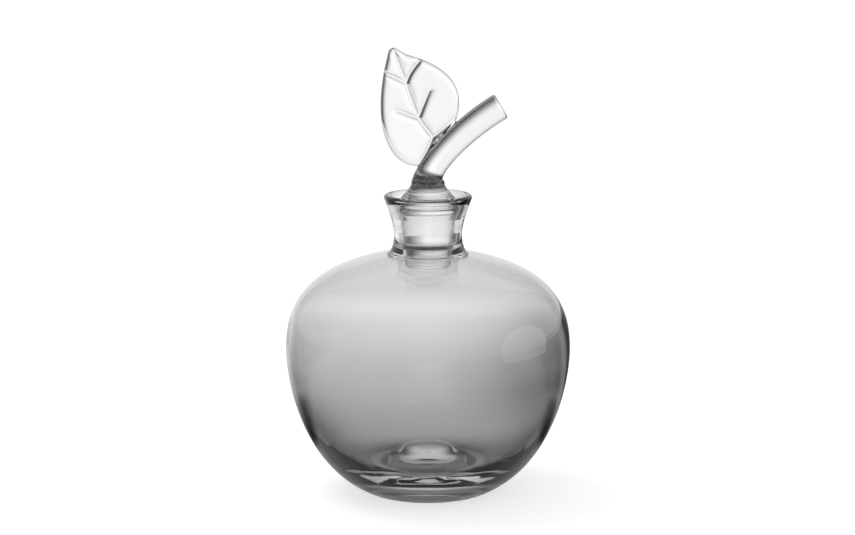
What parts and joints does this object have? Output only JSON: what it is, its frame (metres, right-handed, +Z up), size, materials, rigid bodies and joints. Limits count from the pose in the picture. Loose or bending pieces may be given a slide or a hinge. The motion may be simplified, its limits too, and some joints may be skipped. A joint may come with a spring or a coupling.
{
  "type": "liqueur decanter",
  "caption": "Apple-shaped clear glass liqueur decanter with a kicked-up base and flared neck, and a solid glass stopper shaped as a stem with a leaf.",
  "frame": {"origin": "centre of the foot ring, on the surface that the decanter stands on", "axes": "+Z up, along the bottle's axis and out of its mouth; +X towards the cut end of the stem; -Y is the veined front of the leaf"},
  "size_m": [0.125, 0.125, 0.1952],
  "materials": {
    "bottle_glass": "clear blown glass with a faint smoke-grey cast, fire-polished",
    "stopper_glass": "clear solid glass, polished"
  },
  "bodies": {
    "root": {"decanter": "bottle_glass", "stopper": "stopper_glass"}
  },
  "joints": []
}
